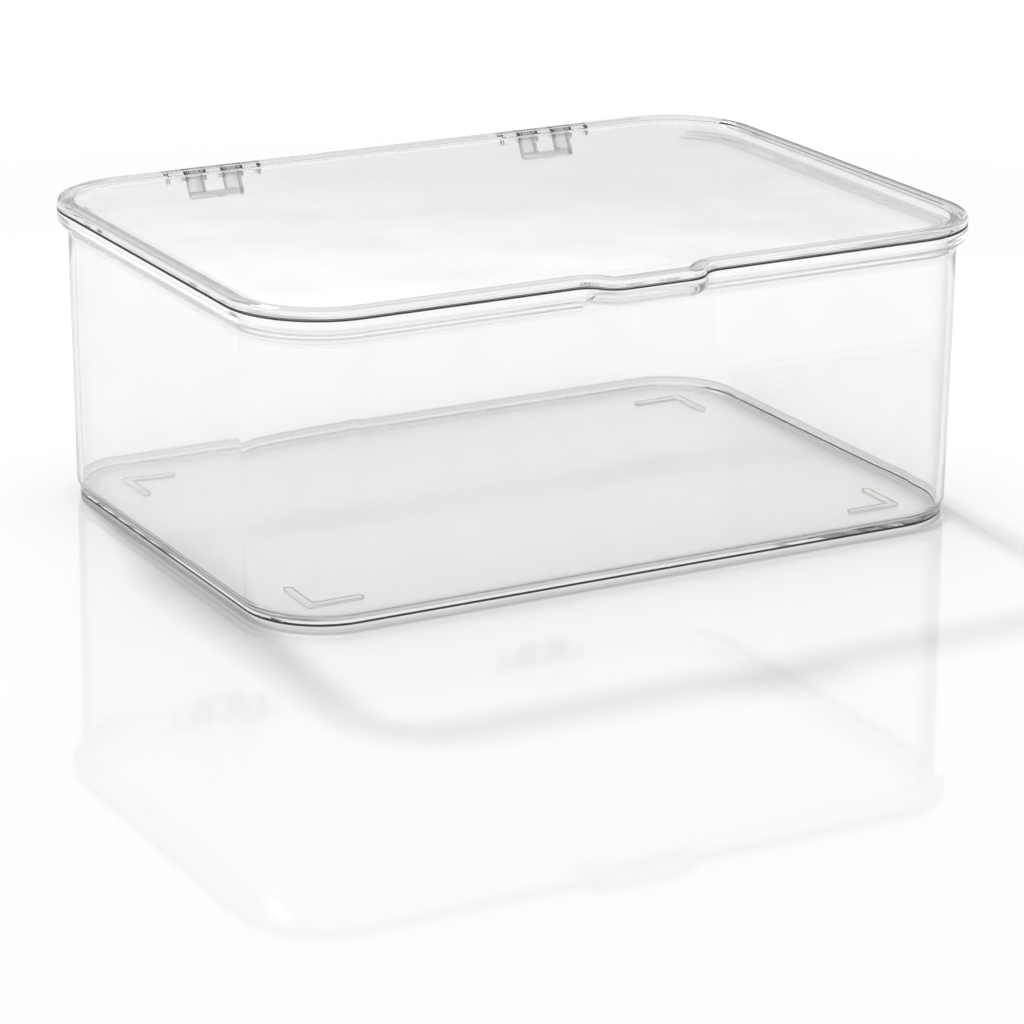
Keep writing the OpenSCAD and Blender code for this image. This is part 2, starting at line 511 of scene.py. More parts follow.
@dataclass
class NodeMaker:
    """Places and joins nodes in one node tree."""

    tree: NodeTree
    column: int = 0
    column_w: int = 220
    row_h: int = 160
    rows: int = 3

    def add(
        self, kind: str, feeds: dict[str | int, object] | None = None, **settings: object
    ) -> Node:
        """Adds a node.

        Args:
            kind: Blender's name for the type of node.
            feeds: a socket or a plain value for each of its inputs, by name or number.
            **settings: attributes of the node.

        Returns:
            The new node.
        """
        node = self.tree.nodes.new(kind)
        node.location = (self.column_w * self.column, -self.row_h * (self.column % self.rows))
        self.column += 1
        for name, value in settings.items():
            setattr(node, name, value)
        for key, value in (feeds or {}).items():
            if isinstance(value, NodeSocket):
                self.tree.links.new(value, node.inputs[key])
            else:
                node.inputs[key].default_value = value
        return node

    def surface(self, shader: Node, output: str = "ShaderNodeOutputMaterial") -> None:
        """Adds the tree's output and feeds a shader to it."""
        self.add(output, {"Surface": shader.outputs[0]})

    def math(self, operation: str, *values: object) -> NodeSocket:
        """Adds a Math node.

        Args:
            operation: what it works out.
            *values: a socket or a number for each of its inputs.

        Returns:
            Its result.
        """
        return self.add("ShaderNodeMath", dict(enumerate(values)), operation=operation).outputs[0]

    def ranged(
        self, value: object, span: Sequence[float], result: Sequence[object] = (0.0, 1.0),
        eased: bool = False,
    ) -> NodeSocket:
        """Adds a Map Range node.

        Args:
            value: what is mapped.
            span: the value's range.
            result: what the ends of the range become.
            eased: whether the way between them is an S-curve.

        Returns:
            The mapped value.
        """
        kind = "SMOOTHSTEP" if eased else "LINEAR"
        return self.add("ShaderNodeMapRange", {
            "Value": value, "From Min": span[0], "From Max": span[1],
            "To Min": result[0], "To Max": result[1],
        }, interpolation_type=kind).outputs[0]

    def noise(self, place: NodeSocket, scale: object, detail: object = 2.0) -> NodeSocket:
        """Adds a Noise Texture node."""
        return self.add("ShaderNodeTexNoise", {
            "Vector": place, "Scale": scale, "Detail": detail
        }).outputs["Fac"]

    def multiplied(self, color: object, shade: object) -> NodeSocket:
        """Adds a Mix node that multiplies a colour by a shade."""
        return self.add("ShaderNodeMix", {
            "Factor": 1.0, "A": color, "B": shade
        }, data_type="RGBA", blend_type="MULTIPLY").outputs["Result"]

    def chosen(self, share: object, plain: object, other: object) -> NodeSocket:
        """Adds a Mix node that goes from one number to another."""
        return self.add("ShaderNodeMix", {
            "Factor": share, "A": plain, "B": other
        }, data_type="FLOAT").outputs["Result"]

    def mixed(self, share: object, plain: Node, other: Node) -> Node:
        """Adds a Mix Shader node that goes from one shader to another."""
        return self.add("ShaderNodeMixShader", {0: share, 1: plain.outputs[0], 2: other.outputs[0]})


def new_group(
    name: str, kind: str, takes: dict[str, tuple[str, object]], gives: dict[str, str]
) -> tuple[NodeMaker, bpy.types.NodeOutputs]:
    """Starts a node group with named inputs and outputs.

    Args:
        name: name of the group.
        kind: Blender's name for the type of tree.
        takes: the type of each input and its usual value, or None.
        gives: the type of each output.

    Returns:
        A maker for the group's nodes, and the group's inputs.
    """
    tree = bpy.data.node_groups.new(name, kind)
    for title, (sort, value) in takes.items():
        made = tree.interface.new_socket(
            name=title, in_out="INPUT", socket_type=f"NodeSocket{sort}"
        )
        if value is not None:
            made.default_value = value
    for title, sort in gives.items():
        tree.interface.new_socket(name=title, in_out="OUTPUT", socket_type=f"NodeSocket{sort}")
    make = NodeMaker(tree)
    return make, make.add("NodeGroupInput").outputs


def finish_copies(
    make: NodeMaker, copies: NodeSocket, shift: NodeSocket, material: NodeSocket
) -> NodeTree:
    """Ends a Geometry Nodes tree: moves the copies, makes them real and dresses them.

    Args:
        make: maker of the tree's nodes.
        copies: the instances.
        shift: how far they are moved.
        material: what they are made of.

    Returns:
        The finished tree.
    """
    placed = make.add("GeometryNodeTransform", {"Geometry": copies, "Translation": shift})
    plain = make.add("GeometryNodeRealizeInstances", {0: placed.outputs[0]})
    dressed = make.add(
        "GeometryNodeSetMaterial", {"Geometry": plain.outputs[0], "Material": material}
    )
    make.add("NodeGroupOutput", {0: dressed.outputs[0]})
    return make.tree


def set_inputs(modifier: bpy.types.NodesModifier, **values: object) -> None:
    """Sets a Geometry Nodes modifier's inputs by their sockets' identifiers.

    Args:
        modifier: the modifier, with its node group.
        **values: a value for each named input, with underscores for spaces.
    """
    for item in modifier.node_group.interface.items_tree:
        key = item.name.replace(" ", "_").lower()
        if item.item_type == "SOCKET" and item.in_out == "INPUT" and key in values:
            modifier[item.identifier] = values[key]


@dataclass(frozen=True)
class HingeRows:
    """Geometry Nodes that copy one segment of a hinge along the row, at both hinges."""

    hinge_x: float = 0.066
    axis: Pair = (0.09865, 0.1003)

    def tree(self) -> NodeTree:
        """Builds the node tree, the first time it is asked for.

        Returns:
            The node tree.
        """
        known = bpy.data.node_groups.get("hinge_row")
        if known:
            return known
        make, given = new_group("hinge_row", "GeometryNodeTree", {
            "Geometry": ("Geometry", None), "Count": ("Int", 3), "Pitch": ("Float", 0.014),
            "Hinge Spacing": ("Float", 0.132), "Axis": ("Vector", None),
            "Material": ("Material", None),
        }, {"Geometry": "Geometry"})
        count, pitch, spacing = given["Count"], given["Pitch"], given["Hinge Spacing"]
        span = make.math("MULTIPLY", make.math("SUBTRACT", count, 1.0), pitch)
        row = self._line(make, count, pitch, make.math("MULTIPLY", span, -0.5))
        segments = make.add(
            "GeometryNodeInstanceOnPoints", {"Points": row, "Instance": given["Geometry"]}
        )
        hinges = self._line(make, 2, spacing, make.math("MULTIPLY", spacing, -0.5))
        both = make.add(
            "GeometryNodeInstanceOnPoints", {"Points": hinges, "Instance": segments.outputs[0]}
        )
        return finish_copies(make, both.outputs[0], given["Axis"], given["Material"])

    @staticmethod
    def _line(make: NodeMaker, count: object, step: object, first: object) -> NodeSocket:
        """Adds nodes that set points along X.

        Args:
            make: maker of the tree's nodes.
            count: number of points.
            step: distance from one to the next.
            first: place of the first one.

        Returns:
            The points.
        """
        start = make.add("ShaderNodeCombineXYZ", {"X": first})
        stride = make.add("ShaderNodeCombineXYZ", {"X": step})
        return make.add("GeometryNodeMeshLine", {
            "Count": count, "Start Location": start.outputs[0], "Offset": stride.outputs[0]
        }, mode="OFFSET").outputs["Mesh"]

    def spread(self, made: Object, count: int, pitch: float, material: Material) -> Object:
        """Copies a segment, modelled round the origin, along both hinges.

        Args:
            made: the segment.
            count: how many of it a hinge has.
            pitch: distance from one to the next.
            material: what the segments are made of.

        Returns:
            The same object, which now holds all the copies in place.
        """
        modifier = made.modifiers.new("hinge_row", "NODES")
        modifier.node_group = self.tree()
        set_inputs(
            modifier, count=count, pitch=pitch, hinge_spacing=2 * self.hinge_x,
            axis=(0.0, *self.axis), material=material,
        )
        return bake(made)


def extrude_side_view(name: str, outline: Sequence[Pair], width: float) -> Object:
    """Makes a solid from its side view, centred on x = 0.

    Args:
        name: name of the object.
        outline: (y, z) points in anticlockwise order, seen from +X.
        width: its width along X.

    Returns:
        The new object.
    """
    return prism(name, [(x, y, z) for x in (-width / 2, width / 2) for y, z in outline])


def prism(name: str, points: Sequence[Point]) -> Object:
    """Makes a solid between two outlines, whose points follow one another in the list."""
    first, last, strips = shell_faces(len(points) // 2, 2)
    return new_solid(name, points, [first, last, *strips])


def turned_bar(name: str, stations: Sequence[Pair], sides: int = 64) -> Object:
    """Makes a round bar along X through the origin.

    Args:
        name: name of the object.
        stations: (x, radius) from one end to the other.
        sides: number of faces round the bar.

    Returns:
        The new object.
    """
    points = [
        (x, y, z)
        for x, radius in stations
        for y, z in round_points((0.0, 0.0), radius, 0.0, math.tau, sides)[:-1]
    ]
    first, last, strips = shell_faces(sides, len(stations))
    return new_solid(name, points, [first, *strips, last])


@dataclass(frozen=True)
class HingeSizes:
    """The sizes that both halves of a hinge share."""

    knuckle_r: float = 0.0028
    lid_knuckles: int = 3
    arms: int = 2
    gap: float = 0.0004
    lid_knuckle_w: float = 0.0072
    arm_w: float = 0.006
    axis_drop: float = 0.0014
    axis_out: float = 0.0015
    round_steps: int = 26
    edge_round: float = 0.0008
    arm_round: float = 0.0004
    bore_over: float = 0.001
    room_under: float = 0.00002

    @property
    def pitch(self) -> float:
        """Distance from a lid knuckle to the tub's arm beside it."""
        return (self.lid_knuckle_w + self.arm_w) / 2 + self.gap

    @property
    def row_w(self) -> float:
        """Width of one hinge's row of knuckles."""
        gaps = (self.lid_knuckles + self.arms - 1) * self.gap
        return self.lid_knuckles * self.lid_knuckle_w + self.arms * self.arm_w + gaps

    def rim_of_knuckle(self, start: float, end: float) -> list[Pair]:
        """The knuckle's round side view from one angle in radians to another."""
        return round_points((0.0, 0.0), self.knuckle_r, start, end, self.round_steps)

    def room(self, name: str, width: float) -> Object:
        """A bar that cuts the room for a segment of the other half."""
        reach, half = self.knuckle_r + self.gap, (width + 2 * self.gap - self.room_under) / 2
        return turned_bar(name, [(-half, reach), (half, reach)])

    def bore(self, name: str, radius: float) -> Object:
        """A bar that cuts the pin's bore through a whole row of knuckles."""
        half = self.row_w / 2 + self.bore_over
        return turned_bar(name, [(-half, radius), (half, radius)])


@dataclass
class Tub:
    """The moulded tub with its foot band, corner feet, rim, finger tab and hinge arms."""

    outline: RimOutline
    hinge: HingeSizes
    rows: HingeRows
    height: float = 0.1017
    wall_t: float = 0.0022
    floor_t: float = 0.0024
    draft: float = 0.0007
    rim_out: float = 0.0035
    rim_face: float = 0.0027
    floor_fillet: float = 0.0025
    fillet_steps: int = 8
    foot_inset: float = 0.0053
    foot_band: float = 0.0018
    foot_slope: float = 0.0028
    pad_h: float = 0.0009
    pad_leg: float = 0.020
    pad_w: float = 0.0032
    pad_inset: float = 0.023
    pad_round: float = 0.0003
    pad_bite: float = 0.0003
    pad_steps: int = 12
    bracket_drop: float = 0.0092
    bracket_out: float = 0.0023
    web_t: float = 0.002
    arm_bite: float = 0.0003
    heel_out: float = 0.0044
    heel_up: float = 0.0004
    heel_t: float = 0.0012
    bore_r: float = 0.00102
    seam_shade: float = 0.0008
    seam_round: float = 0.0003
    seam_face: float = 0.0004
    mouth_round: float = 0.0004
    inside_h: float = 0.0958
    floor_ring: float = 0.014
    under_floor: float = 0.003
    foot_shade: float = 0.0009
    foot_round: float = 0.0003
    band_round: float = 0.0004
    slope_round: float = 0.0012
    under_rim_steps: int = 9
    under_drop: float = 0.001
    wall_step: float = 0.0001
    lip_ease: float = 0.0003
    hollow_turn: float = 60.0
    wall_levels: int = 5
    web_proud: float = 0.0001

    def section(self) -> list[Ring | Turn]:
        """The tub's section.

        Returns:
            Its rings and turns from the middle of the underside, up the outside and back down
            to the middle of the floor.
        """
        low, out = self.rim_out + self.draft, self.rim_out
        face_low = self.height - self.rim_face
        lip_low = face_low - self.rim_out
        floor_top = self.pad_h + self.floor_t
        slope_top = self.pad_h + self.foot_band + self.foot_slope
        foot = self.foot_inset
        # Painted shade: edge is a dark strip round the foot band's lower edge, a contact shadow,
        # and round the rim's outer top edge, the shade in the seam under the lid.
        edge = Finish.SEAM_EDGE
        section: list[Ring | Turn] = [
            Ring(foot + self.under_floor, self.pad_h, finish=Finish.FLOOR),
            Ring(foot + self.foot_shade, self.pad_h, finish=edge),
            Turn(foot, self.pad_h, self.foot_round, finish=edge, finish_after=edge),
            Ring(foot, self.pad_h + self.foot_shade),
            Turn(foot, self.pad_h + self.foot_band, self.band_round, finish_after=Finish.SHADED),
            Turn(low, slope_top, self.slope_round),
        ]
        wall_h = lip_low - self.rim_out - slope_top
        shares = [level / self.wall_levels for level in range(1, self.wall_levels)]
        section += [Ring(low - self.draft * part, slope_top + wall_h * part) for part in shares]
        section += self._under_rim(face_low, lip_low)
        mouth = out + self.wall_t
        section += [
            Ring(0.0, self.height - self.seam_face, Follow.TAB, finish=edge),
            Turn(0.0, self.height, self.seam_round, Follow.TAB, finish=edge, finish_after=edge),
            Ring(self.seam_shade, self.height, Follow.TAB),
            Turn(mouth, self.height, self.mouth_round),
        ]
        section += [
            Ring(mouth + self.draft * part, self.height - self.inside_h * part) for part in shares
        ]
        inside = low + self.wall_t
        # The floor's strips take the floor finish, tinted a little grey as painted shade.
        section += [
            Turn(
                inside, floor_top, self.floor_fillet, steps=self.fillet_steps,
                finish_after=Finish.FLOOR,
            ),
            Ring(self.floor_ring, floor_top, finish=Finish.FLOOR),
        ]
        return section

    def _under_rim(self, face_low: float, lip_low: float) -> list[Ring | Turn]:
        """The rounded underside of the rim, from the wall out to the rim's upright face.

        Along the box it is a quarter round with a hollow that runs into the wall. Under the
        finger tab it is a lip, with the flat underside of the tab behind it. Its finish is a
        little darker, painted shade under the rim, and a little rough.

        Args:
            face_low: height of the lower end of the upright face.
            lip_low: height of the lip's lower edge under the tab.

        Returns:
            The rings, from the wall outwards.
        """
        out, steps = self.rim_out, self.under_rim_steps
        meet = math.radians(self.hollow_turn)
        wall = out + self.wall_step
        hollow_r = (wall - out * (1 - math.cos(meet))) / (1 - math.cos(meet))
        start = face_low - out * math.sin(meet) - hollow_r * math.sin(meet)
        ease, below = self.lip_ease, self.under_drop
        lip_in = out + ease
        lip = [
            (wall, face_low - below, Follow.BOX), (wall, face_low - ease, Follow.BOX),
            (out - ease, face_low, Follow.BOX), (lip_in + ease, face_low, Follow.TAB),
            (lip_in, face_low - ease, Follow.TAB), (lip_in, lip_low + ease, Follow.TAB),
            (lip_in - ease, lip_low, Follow.TAB),
        ]
        soft = Finish.UNDER_RIM
        rings: list[Ring | Turn] = [Ring(wall, start - below, finish=soft)]
        hollow = round_points((wall - hollow_r, start), hollow_r, 0.0, meet, len(lip))
        rings += [Ring(*spot, under_tab=place, finish=soft) for spot, place in zip(hollow, lip)]
        near = round_points((out, face_low), out, math.pi + meet, math.pi, steps)
        under = round_points((out, face_low), out, math.pi * 1.5, math.pi, steps)
        rings += [
            Ring(*spot, Follow.TAB, (*other, Follow.TAB), soft)
            for spot, other in zip(near[:-1], under)
        ]
        rings.append(Ring(*near[-1], Follow.TAB))
        return rings

    def _arm_view(self) -> list[Pair]:
        """Side view of a hinge arm.

        Returns:
            The gusset, the stop heel and the knuckle in one outline.
        """
        hinge = self.hinge
        low = hinge.axis_drop - self.bracket_drop
        wall = -hinge.axis_out - self.rim_out - self.wall_t / 2
        toe = -hinge.axis_out - self.rim_out + self.bracket_out
        top = hinge.axis_drop - self.arm_bite
        start = math.asin(self.heel_up / hinge.knuckle_r)
        end = math.pi - math.asin(top / hinge.knuckle_r)
        return [
            (wall, low), (toe, low), (self.heel_out, self.heel_up - self.heel_t),
            (self.heel_out, self.heel_up), *hinge.rim_of_knuckle(start, end), (wall, top),
        ]

    def _web_view(self) -> list[Pair]:
        """Side view of the web that joins the two arms at the bottom.

        Returns:
            Its outline, which stands a little proud of the arms.
        """
        hinge = self.hinge
        low = hinge.axis_drop - self.bracket_drop - self.web_proud
        wall = -hinge.axis_out - self.rim_out - self.wall_t / 2
        toe = -hinge.axis_out - self.rim_out + self.bracket_out + self.web_proud
        high = low + self.web_t
        return [(wall, low), (toe, low), (toe + self.web_t, high), (wall, high)]

    def _feet(self, material: Material, edge: Material) -> Object:
        """The four L-shaped feet under the corners of the floor.

        Args:
            material: what the feet are made of.
            edge: the finish of their rounded edges, a dark painted shade outline.

        Returns:
            The feet as one object.
        """
        reach, half, turn = self.pad_leg - self.pad_w, self.pad_w / 2, math.pi
        points = [
            *round_points((0.0, 0.0), half, 0.0, turn / 2, self.pad_steps),
            *round_points((-reach, 0.0), half, turn / 2, turn * 1.5, self.pad_steps),
            (-half, -half),
            *round_points((0.0, -reach), half, turn, turn * 2, self.pad_steps),
        ]
        top = self.pad_h + self.pad_bite
        foot = prism("corner_foot", [(x, y, z) for z in (0.0, top) for x, y in points])
        modifier = foot.modifiers.new("corner_feet", "NODES")
        modifier.node_group = corner_feet_tree()
        set_inputs(
            modifier,
            width=self.outline.width - 2 * self.pad_inset - self.pad_w,
            depth=self.outline.depth - 2 * self.pad_inset - self.pad_w,
            middle_y=self.outline.middle_y, material=material,
        )
        return bevel_edges(bake(foot), self.pad_round, edge)

    def build(self, finishes: Finishes) -> Object:
        """Builds the tub.

        Args:
            finishes: the material of each finish.

        Returns:
            The tub as one closed mesh.
        """
        hinge, rows = self.hinge, self.rows
        tub = ShellLoft(self.outline).build("tub_moulding", self.section(), finishes)
        # Painted shade: the arms and web are tinted grey and their rounded edges dark.
        plain, edge = finishes[Finish.HINGE], finishes[Finish.HINGE_EDGE]
        arm = extrude_side_view("hinge_arm", self._arm_view(), hinge.arm_w)
        rows.spread(arm, hinge.arms, 2 * hinge.pitch, plain)
        bevel_edges(arm, hinge.arm_round, edge)
        web_w = 2 * hinge.pitch + hinge.arm_w + 2 * self.web_proud
        web = extrude_side_view("hinge_web", self._web_view(), web_w)
        rows.spread(web, 1, 0.0, plain)
        bevel_edges(web, hinge.edge_round, edge)
        room = hinge.room("knuckle_room", hinge.lid_knuckle_w)
        rows.spread(room, hinge.lid_knuckles, 2 * hinge.pitch, finishes[Finish.REAR_RIM])
        bore = hinge.bore("pin_bore", self.bore_r)
        rows.spread(bore, 1, 0.0, plain)
        shape_with(tub, [
            (Joining.WELD, self._feet(finishes[Finish.WALL], edge)), (Joining.WELD, arm),
            (Joining.WELD, web), (Joining.CUT, room), (Joining.CUT, bore),
        ])
        smooth(tub)
        return tub


def corner_feet_tree() -> NodeTree:
    """Geometry Nodes that put one foot under each corner.

    Returns:
        The node tree, which turns the bend of each foot towards its corner.
    """
    make, given = new_group("corner_feet", "GeometryNodeTree", {
        "Geometry": ("Geometry", None), "Width": ("Float", 0.2), "Depth": ("Float", 0.1),
        "Middle Y": ("Float", 0.0), "Material": ("Material", None),
    }, {"Geometry": "Geometry"})
    corners = make.add("GeometryNodeMeshGrid", {
        "Size X": given["Width"], "Size Y": given["Depth"], "Vertices X": 2, "Vertices Y": 2
    })
    place = make.add("ShaderNodeSeparateXYZ", {0: make.add("GeometryNodeInputPosition").outputs[0]})
    heading = make.math(
        "ARCTAN2", make.math("SIGN", place.outputs["Y"]), make.math("SIGN", place.outputs["X"])
    )
    turn = make.add("ShaderNodeCombineXYZ", {"Z": make.math("SUBTRACT", heading, math.pi / 4)})
    feet = make.add("GeometryNodeInstanceOnPoints", {
        "Points": corners.outputs["Mesh"], "Instance": given["Geometry"],
        "Rotation": turn.outputs[0],
    })
    shift = make.add("ShaderNodeCombineXYZ", {"Y": given["Middle Y"]})
    return finish_copies(make, feet.outputs[0], shift.outputs[0], given["Material"])


@dataclass
class Lid:
    """The flat lid with its raised border, stacking recess, finger tab and knuckles."""

    outline: RimOutline
    hinge: HingeSizes
    rows: HingeRows
    low: float = 0.10195
    border_t: float = 0.0028
    border_w: float = 0.005
    border_round: float = 0.0015
    round_steps: int = 9
    recess: float = 0.0014
    recess_slope: float = 0.0008
    panel_t: float = 0.0022
    plug: float = 0.0061
    bore_r: float = 0.00106
    seam_shade: float = 0.0008
    edge_round: float = 0.0003
    neck_round: float = 0.0002
    recess_round: float = 0.0005
    panel_ring: float = 0.004
    recess_ring: float = 0.001
    neck_rise: float = 0.00025

    def section(self) -> list[Ring | Turn]:
        """The lid's section.

        Returns:
            Its rings and turns from the middle of the underside, out and over the border.
        """
        top = self.low + self.border_t
        panel_top = top - self.recess
        panel_low = panel_top - self.panel_t
        recess_edge = self.border_w + self.recess_slope
        # Painted shade: a dark strip along the lid's lower outer edge at the seam, and shaded bands
        # on the border's top and recess.
        edge, shaded = Finish.SEAM_EDGE, Finish.SHADED
        return [
            Ring(self.plug + self.panel_ring, panel_low),
            Turn(self.plug, panel_low, self.edge_round),
            Turn(self.plug, self.low, self.neck_round),
            Ring(self.seam_shade, self.low, Follow.TAB, finish=edge),
            Turn(0.0, self.low, self.edge_round, Follow.TAB, finish=edge),
            *self._border_edge(top),
            Turn(
                self.border_w, top, self.recess_round, Follow.TAB,
                finish=shaded, finish_after=shaded,
            ),
            Turn(recess_edge, panel_top, self.recess_round, Follow.TAB, finish=shaded),
            Ring(recess_edge + self.recess_ring, panel_top, Follow.TAB),
        ]

    def _border_edge(self, top: float) -> list[Ring]:
        """The border's rounded outer edge.

        Args:
            top: height of the border's top.

        Returns:
            Its rings upwards, the upper half in the shaded finish, a painted shade band.
        """
        round_r, steps = self.border_round, self.round_steps
        edge = round_points((round_r, top - round_r), round_r, math.pi, math.pi / 2, steps)
        return [
            Ring(*spot, Follow.TAB, finish=Finish.SHADED if 2 * step > steps else Finish.WALL)
            for step, spot in enumerate(edge)
        ]

    def _knuckle_view(self) -> list[Pair]:
        """Side view of a knuckle.

        Returns:
            Its outline with the neck that joins it to the border.
        """
        hinge = self.hinge
        neck_low = hinge.axis_drop + self.neck_rise
        neck_end = -hinge.axis_out - self.border_round
        start = math.pi - math.asin(neck_low / hinge.knuckle_r)
        return [
            (neck_end, neck_low), *hinge.rim_of_knuckle(start, math.pi * 2.5),
            (neck_end, hinge.knuckle_r),
        ]

    def build(self, finishes: Finishes) -> Object:
        """Builds the lid.

        Args:
            finishes: the material of each finish.

        Returns:
            The lid as one closed mesh.
        """
        hinge, rows = self.hinge, self.rows
        lid = ShellLoft(self.outline).build("lid_moulding", self.section(), finishes)
        wall = finishes[Finish.WALL]
        knuckle = extrude_side_view("lid_knuckle", self._knuckle_view(), hinge.lid_knuckle_w)
        rows.spread(knuckle, hinge.lid_knuckles, 2 * hinge.pitch, wall)
        # Painted shade: dark knuckle ends, the marks between the segments.
        finish_ends(knuckle, finishes[Finish.SEAM_EDGE])
        # Painted shade: dark outlines on the knuckles' rounded edges.
        bevel_edges(knuckle, hinge.edge_round, finishes[Finish.HINGE_EDGE])
        room = hinge.room("arm_room", hinge.arm_w)
        rows.spread(room, hinge.arms, 2 * hinge.pitch, wall)
        bore = hinge.bore("knuckle_bore", self.bore_r)
        # The bore's faces take the grey hinge finish, a painted shade.
        rows.spread(bore, 1, 0.0, finishes[Finish.HINGE])
        shape_with(lid, [(Joining.WELD, knuckle), (Joining.CUT, room), (Joining.CUT, bore)])
        smooth(lid)
        return lid


@dataclass
class HingePin:
    """A clear pin with chamfered ends, through the knuckles of one hinge."""

    hinge: HingeSizes
    rows: HingeRows
    side: int
    radius: float = 0.001
    sunk: float = 0.0003
    chamfer: float = 0.00025
    sides: int = 48

    @property
    def node(self) -> str:
        """The CAD node that this pin stands for."""
        return "left_hinge_pin" if self.side < 0 else "right_hinge_pin"

    def build(self, material: Material) -> Object:
        """Builds the pin.

        Args:
            material: what it is made of.

        Returns:
            The pin in its place.
        """
        end = self.hinge.row_w / 2 - self.sunk
        shoulder = end - self.chamfer
        pin = turned_bar(
            f"{self.node}_turned",
            [
                (-end, self.radius - self.chamfer), (-shoulder, self.radius),
                (shoulder, self.radius), (end, self.radius - self.chamfer),
            ],
            self.sides,
        )
        pin.data.transform(Matrix.Translation((self.side * self.rows.hinge_x, *self.rows.axis)))
        pin.data.materials.append(material)
        smooth(pin)
        return pin


def ripple_group() -> NodeTree:
    """Shallow waves and fine grain that moulding leaves in a clear wall.

    Returns:
        A shader group that gives them as a height.
    """
    make, given = new_group("moulding_ripple", "ShaderNodeTree", {
        "Place": ("Vector", None), "Wave Scale": ("Float", 22.0), "Wave Detail": ("Float", 1.5),
        "Grain Scale": ("Float", 900.0), "Grain Share": ("Float", 0.02),
    }, {"Height": "Float"})
    waves = make.noise(given["Place"], given["Wave Scale"], given["Wave Detail"])
    grain = make.noise(given["Place"], given["Grain Scale"])
    fine = make.math("MULTIPLY", grain, given["Grain Share"])
    make.add("NodeGroupOutput", {"Height": make.math("ADD", waves, fine)})
    return make.tree


def wear_group() -> NodeTree:
    """Faint hairline scratches and a breath of dust.

    Returns:
        A shader group that gives them as a roughness and a colour.
    """
    make, given = new_group("handling_wear", "ShaderNodeTree", {
        "Place": ("Vector", None), "Polish": ("Float", 0.02), "Dust": ("Float", 0.03),
        "Tint": ("Color", (0.96, 0.965, 0.97, 1.0)), "Dust Scale": ("Float", 45.0),
        "Dust Detail": ("Float", 5.0), "Hair Stretch": ("Vector", (60.0, 1400.0, 900.0)),
        "Hair Depth": ("Float", 0.8), "Dulling": ("Float", 0.012),
    }, {"Roughness": "Float", "Color": "Color"})
    dusty, scratched = (0.45, 0.75), (0.68, 0.78)
    dust = make.noise(given["Place"], given["Dust Scale"], given["Dust Detail"])
    stretch = make.add(
        "ShaderNodeVectorMath", {0: given["Place"], 1: given["Hair Stretch"]},
        operation="MULTIPLY",
    )
    scratch = make.ranged(make.noise(stretch.outputs[0], 1.0), scratched)
    hairs = make.math("MULTIPLY", scratch, given["Hair Depth"])
    worn = make.math("ADD", make.ranged(dust, dusty), hairs)
    rough = make.math("ADD", given["Polish"], make.math("MULTIPLY", worn, given["Dust"]))
    shade = make.math("SUBTRACT", 1.0, make.math("MULTIPLY", worn, given["Dulling"]))
    color = make.multiplied(given["Tint"], shade)
    make.add("NodeGroupOutput", {"Roughness": rough, "Color": color})
    return make.tree


@dataclass(frozen=True)
class ClearPlastic:
    """Clear moulded plastic, which lets the light of lamps through to what lies behind.

    tint colours what is seen through it, and shadow what falls through it. Towards a grazing
    view the colour darkens to edge_tint of its value, a painted shade along silhouettes, and
    the shadow deepens to slant_shadow of its value. clear is how much of the light goes
    through the surface. Light that takes more than guided_depth steps inside the plastic is
    replaced by a painted glow in the tint, at a strength of guided_glow.
    """

    name: str
    tint: Tone
    shadow: Tone
    polish: float = 0.015
    dust: float = 0.04
    ior: float = 1.5
    wave_depth: float = 0.00006
    wave_scale: float = 22.0
    slant_shadow: float = 0.12
    edge_tint: float = 0.15
    edge_start: float = 0.80
    slant_start: float = 0.5
    guided_depth: int = 14
    guided_glow: float = 0.95
    clear: float = 1.0

    def material(self) -> Material:
        """Builds the plastic.

        Returns:
            The material.
        """
        made, make = new_material(self.name)
        place = make.add("ShaderNodeTexCoord").outputs["Object"]
        wear = make.add("ShaderNodeGroup", {
            "Place": place, "Polish": self.polish, "Dust": self.dust, "Tint": (*self.tint, 1.0)
        }, node_tree=shared_group("handling_wear"))
        ripple = make.add(
            "ShaderNodeGroup", {"Place": place, "Wave Scale": self.wave_scale},
            node_tree=shared_group("moulding_ripple"),
        )
        bump = make.add("ShaderNodeBump", {
            "Distance": self.wave_depth, "Strength": 1.0, "Height": ripple.outputs["Height"]
        })
        facing = make.add("ShaderNodeLayerWeight", {"Blend": 0.5}).outputs["Facing"]
        # Painted shade: the colour darkens towards a grazing view, dark lines along silhouettes.
        edge = make.ranged(facing, (self.edge_start, 1.0), (1.0, self.edge_tint))
        shell = make.add("ShaderNodeBsdfPrincipled", {
            "Transmission Weight": self.clear, "Metallic": 0.0, "IOR": self.ior,
            "Base Color": make.multiplied(wear.outputs["Color"], edge),
            "Roughness": wear.outputs["Roughness"], "Normal": bump.outputs["Normal"],
        })
        slant = make.ranged(facing, (self.slant_start, 1.0), (1.0, self.slant_shadow))
        cast = make.multiplied((*self.shadow, 1.0), slant)
        through = make.add("ShaderNodeBsdfTransparent", {"Color": cast})
        path = make.add("ShaderNodeLightPath").outputs
        # Painted glow: light lost after many steps inside the plastic is replaced by the tint's
        # glow.
        glow = make.add(
            "ShaderNodeEmission", {"Color": (*self.tint, 1.0), "Strength": self.guided_glow}
        )
        deep = make.math("GREATER_THAN", path["Ray Depth"], self.guided_depth)
        lit = make.math("MAXIMUM", path["Is Shadow Ray"], path["Is Diffuse Ray"])
        make.surface(make.mixed(lit, make.mixed(deep, shell, glow), through))
        return made


